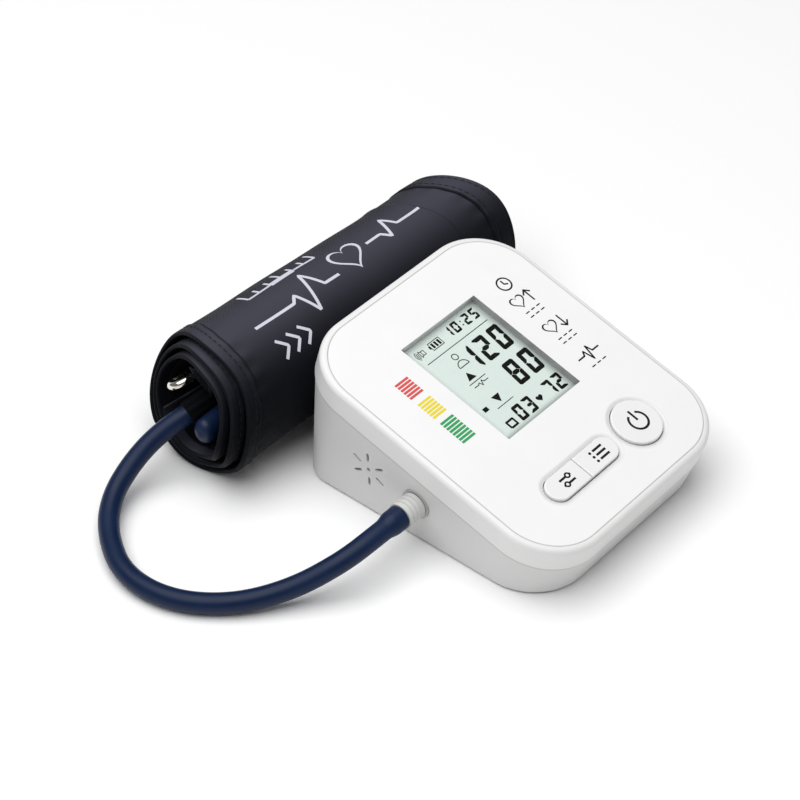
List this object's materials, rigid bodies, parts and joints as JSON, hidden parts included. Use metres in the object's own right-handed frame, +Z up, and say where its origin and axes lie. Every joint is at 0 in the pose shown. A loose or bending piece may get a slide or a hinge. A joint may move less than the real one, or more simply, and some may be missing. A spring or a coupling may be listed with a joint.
{
  "type": "blood pressure monitor",
  "caption": "Home upper-arm blood pressure monitor: wedge-shaped white monitor with tilted LCD face and push keys, rubber air hose and rolled cloth arm cuff.",
  "frame": {"origin": "middle of the flat ring on the lower case that the monitor rests on", "axes": "+X to the monitor's right, +Y to its back, +Z up"},
  "size_m": [0.2214, 0.183, 0.0585],
  "materials": {
    "case_white": "satin",
    "plate_white": "gloss",
    "window_clear": "clear",
    "lcd_glass": "satin",
    "inner_plastic": "matte",
    "soft_rubber": "matte",
    "board_green": "satin",
    "plated_steel": "bright",
    "key_white": "satin",
    "cell_jacket": "satin",
    "speaker_steel": "satin",
    "socket_grey": "satin",
    "plug_white": "satin",
    "hose_rubber": "satin",
    "motor_steel": "satin",
    "tube_rubber": "matte",
    "cuff_cloth": "woven",
    "lining_cloth": "brushed",
    "bladder_rubber": "matte",
    "hook_cloth": "hook",
    "ring_chrome": "polished",
    "port_rubber": "satin"
  },
  "bodies": {
    "monitor": {"upper_case": "case_white", "lower_case": "case_white", "face_plate": "plate_white", "lcd_window": "window_clear", "lcd_glass": "lcd_glass", "lcd_holder": "inner_plastic", "zebra_strip": "soft_rubber", "main_board": "board_green", "board_screws": "plated_steel", "tact_switches": "inner_plastic", "battery_cells": "cell_jacket", "battery_springs": "plated_steel", "battery_contacts": "plated_steel", "case_screws": "plated_steel", "rubber_pads": "soft_rubber", "speaker": "speaker_steel", "air_socket": "socket_grey", "air_manifold": "inner_plastic", "pressure_sensor": "inner_plastic", "release_valve": "plated_steel", "pump_head": "inner_plastic", "pump_motor": "motor_steel", "air_tubes": "tube_rubber"},
    "power_key_unit": {"power_key": "key_white", "power_switch_plunger": "inner_plastic"},
    "set_key_unit": {"set_key": "key_white", "set_switch_plunger": "inner_plastic"},
    "memory_key_unit": {"memory_key": "key_white", "memory_switch_plunger": "inner_plastic"},
    "battery_door": {"battery_cover": "case_white"},
    "cuff_set": {"hose_plug": "plug_white", "plug_seal": "soft_rubber", "air_hose": "hose_rubber", "cuff_cover": "cuff_cloth", "cuff_lining": "lining_cloth", "cuff_bladder": "bladder_rubber", "hook_patch": "hook_cloth", "cuff_ring": "ring_chrome", "ring_loop": "lining_cloth", "bladder_port": "port_rubber"}
  },
  "joints": [
    {"name": "power_press", "type": "slide", "parent": "monitor", "child": "power_key_unit", "axis": [0, 0.2651, -0.9642], "range_m": [0, 0.0008], "stiffness_N_per_m": 500, "springref_m": -0.0008},
    {"name": "set_press", "type": "slide", "parent": "monitor", "child": "set_key_unit", "axis": [0, 0.2651, -0.9642], "range_m": [0, 0.0008], "stiffness_N_per_m": 500, "springref_m": -0.0008},
    {"name": "memory_press", "type": "slide", "parent": "monitor", "child": "memory_key_unit", "axis": [0, 0.2651, -0.9642], "range_m": [0, 0.0008], "stiffness_N_per_m": 500, "springref_m": -0.0008},
    {"name": "battery_door_hinge", "type": "hinge", "parent": "monitor", "child": "battery_door", "pos_m": [0, -0.0006, 0.0013], "axis": [-1, 0, 0], "range_deg": [0, 75]},
    {"name": "plug_pull", "type": "slide", "parent": "monitor", "child": "cuff_set", "axis": [-1, 0, 0], "range_m": [0, 0.02]}
  ]
}
